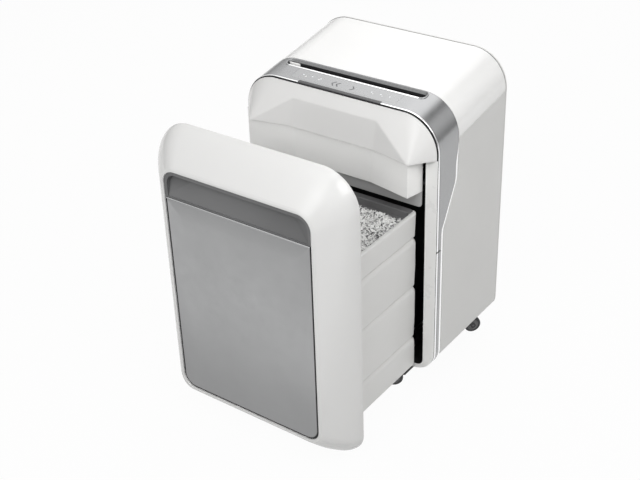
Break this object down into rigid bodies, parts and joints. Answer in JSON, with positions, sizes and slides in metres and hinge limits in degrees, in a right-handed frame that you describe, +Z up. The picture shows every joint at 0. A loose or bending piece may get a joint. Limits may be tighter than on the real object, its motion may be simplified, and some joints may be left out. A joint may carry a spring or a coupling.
{
  "type": "paper shredder",
  "caption": "Free-standing office paper shredder with a sloping top, a silver band with a paper slot, a hooded cutting head and a pull-out bin full of paper shreds.",
  "frame": {"origin": "on the floor, in the middle of the box around the shredder with its bin pulled out", "axes": "+Z up, +X to the right seen from the front, +Y to the back; the bin pulls out along -Y"},
  "size_m": [0.35, 0.452, 0.5141],
  "materials": {
    "casing_white": "gloss white",
    "panel_white": "satin white",
    "front_white": "gloss warm white",
    "skirt_grey": "satin light grey",
    "band_silver": "satin silver lacquer",
    "panel_silver": "brushed silver lacquer",
    "trim_chrome": "bright",
    "bezel_dark": "dark grey satin",
    "recess_dark": "dark grey satin",
    "throat_grey": "grey satin",
    "flap_white": "white",
    "base_black": "textured black",
    "tub_white": "satin off-white",
    "shred_paper": "loose cross-cut paper",
    "board_green": "solder mask",
    "light_lens": "frosted lens",
    "chassis_steel": "grey powder coat",
    "plate_steel": "zinc plated",
    "cutter_steel": "oiled steel",
    "bush_bronze": "sintered bronze",
    "gear_nylon": "natural nylon",
    "motor_paint": "black enamel",
    "electric_black": "black",
    "magnet_grey": "sintered ferrite",
    "wheel_grey": "dark grey tread"
  },
  "bodies": {
    "cabinet": {"base_tray": "base_black", "side_panel_left": "panel_white", "side_panel_right": "panel_white", "rear_panel": "panel_white", "top_cover": "casing_white", "front_frame": "front_white", "head_hood": "front_white", "head_skirt": "skirt_grey", "silver_band": "band_silver", "lower_trim": "band_silver", "slot_bezel": "bezel_dark", "throat_guide_front": "throat_grey", "throat_guide_rear": "throat_grey", "control_overlay": "band_silver", "control_board": "board_green", "status_lights": "light_lens", "head_chassis": "chassis_steel", "cutter_plate_left": "plate_steel", "cutter_plate_right": "plate_steel", "tie_rods": "plate_steel", "shaft_bushings": "bush_bronze", "stripper_comb_front": "base_black", "stripper_comb_rear": "base_black", "motor_can": "motor_paint", "motor_saddle": "base_black", "idler_pin": "plate_steel", "gear_cover": "base_black", "main_board": "board_green", "power_inlet": "electric_black", "switch_housing": "electric_black", "bin_sensor": "electric_black", "casing_screws": "plate_steel", "runner_rails": "plate_steel"},
    "drawer": {"drawer_front": "casing_white", "drawer_panel": "panel_silver", "panel_trim": "trim_chrome", "handle_recess": "recess_dark", "drawer_liner": "skirt_grey", "bin_tub": "tub_white", "bin_magnet": "magnet_grey", "paper_shreds": "shred_paper", "bin_rails": "plate_steel"},
    "runner_slides": {"runner_slides": "plate_steel"},
    "front_cutter": {"cutter_shaft_front": "cutter_steel", "timing_gear_front": "cutter_steel"},
    "rear_cutter": {"cutter_shaft_rear": "cutter_steel", "timing_gear_rear": "cutter_steel", "drive_gear": "gear_nylon"},
    "idler": {"idler_gear": "gear_nylon"},
    "rotor": {"motor_pinion": "cutter_steel"},
    "rocker": {"power_rocker": "electric_black"},
    "sensor_flap": {"paper_sensor_flap": "flap_white"},
    "fork_front_left": {"caster_fork_front_left": "base_black"},
    "wheel_front_left": {"caster_wheel_front_left": "wheel_grey"},
    "fork_front_right": {"caster_fork_front_right": "base_black"},
    "wheel_front_right": {"caster_wheel_front_right": "wheel_grey"},
    "fork_rear_left": {"caster_fork_rear_left": "base_black"},
    "wheel_rear_left": {"caster_wheel_rear_left": "wheel_grey"},
    "fork_rear_right": {"caster_fork_rear_right": "base_black"},
    "wheel_rear_right": {"caster_wheel_rear_right": "wheel_grey"}
  },
  "joints": [
    {"name": "drawer_slide", "type": "slide", "parent": "cabinet", "child": "drawer", "axis": [0, -1, 0], "range_m": [-0.1955, 0]},
    {"name": "runner_slide", "type": "slide", "parent": "cabinet", "child": "runner_slides", "axis": [0, -1, 0], "range_m": [-0.098, 0]},
    {"name": "rear_cutter_spin", "type": "hinge", "parent": "cabinet", "child": "rear_cutter", "pos_m": [0, 0.085, 0.407], "axis": [1, 0, 0], "continuous": true},
    {"name": "front_cutter_spin", "type": "hinge", "parent": "cabinet", "child": "front_cutter", "pos_m": [0, 0.051, 0.407], "axis": [1, 0, 0], "continuous": true},
    {"name": "idler_spin", "type": "hinge", "parent": "cabinet", "child": "idler", "pos_m": [0.14, 0.12352, 0.41952], "axis": [1, 0, 0], "continuous": true},
    {"name": "rotor_spin", "type": "hinge", "parent": "cabinet", "child": "rotor", "pos_m": [0.14, 0.15408, 0.4119], "axis": [1, 0, 0], "continuous": true},
    {"name": "power_rocker_tilt", "type": "hinge", "parent": "cabinet", "child": "rocker", "pos_m": [-0.074, 0.218, 0.398], "axis": [1, 0, 0], "range_deg": [0, 10]},
    {"name": "sensor_flap_swing", "type": "hinge", "parent": "cabinet", "child": "sensor_flap", "pos_m": [-0.117, 0.07, 0.474], "axis": [1, 0, 0], "range_deg": [-6, 6], "stiffness_Nm_per_rad": 0.01},
    {"name": "swivel_front_left", "type": "hinge", "parent": "cabinet", "child": "fork_front_left", "pos_m": [-0.122, 0.015, 0.035], "axis": [0, 0, 1], "continuous": true},
    {"name": "roll_front_left", "type": "hinge", "parent": "fork_front_left", "child": "wheel_front_left", "pos_m": [-0.11135, 0.00754, 0.0145], "axis": [0.5736, 0.8192, 0], "continuous": true},
    {"name": "swivel_front_right", "type": "hinge", "parent": "cabinet", "child": "fork_front_right", "pos_m": [0.122, 0.015, 0.035], "axis": [0, 0, 1], "continuous": true},
    {"name": "roll_front_right", "type": "hinge", "parent": "fork_front_right", "child": "wheel_front_right", "pos_m": [0.11135, 0.00754, 0.0145], "axis": [0.5736, -0.8192, 0], "continuous": true},
    {"name": "swivel_rear_left", "type": "hinge", "parent": "cabinet", "child": "fork_rear_left", "pos_m": [-0.134, 0.197, 0.035], "axis": [0, 0, 1], "continuous": true},
    {"name": "roll_rear_left", "type": "hinge", "parent": "fork_rear_left", "child": "wheel_rear_left", "pos_m": [-0.14236, 0.20696, 0.0145], "axis": [-0.766, -0.6428, 0], "continuous": true},
    {"name": "swivel_rear_right", "type": "hinge", "parent": "cabinet", "child": "fork_rear_right", "pos_m": [0.134, 0.197, 0.035], "axis": [0, 0, 1], "continuous": true},
    {"name": "roll_rear_right", "type": "hinge", "parent": "fork_rear_right", "child": "wheel_rear_right", "pos_m": [0.14236, 0.20696, 0.0145], "axis": [-0.766, 0.6428, 0], "continuous": true}
  ],
  "couplings": [
    {"joint": "runner_slide", "follows": "drawer_slide", "ratio": 0.5},
    {"joint": "front_cutter_spin", "follows": "rear_cutter_spin", "ratio": -1},
    {"joint": "idler_spin", "follows": "rear_cutter_spin", "ratio": -2.8571},
    {"joint": "rotor_spin", "follows": "rear_cutter_spin", "ratio": 7.1429}
  ]
}
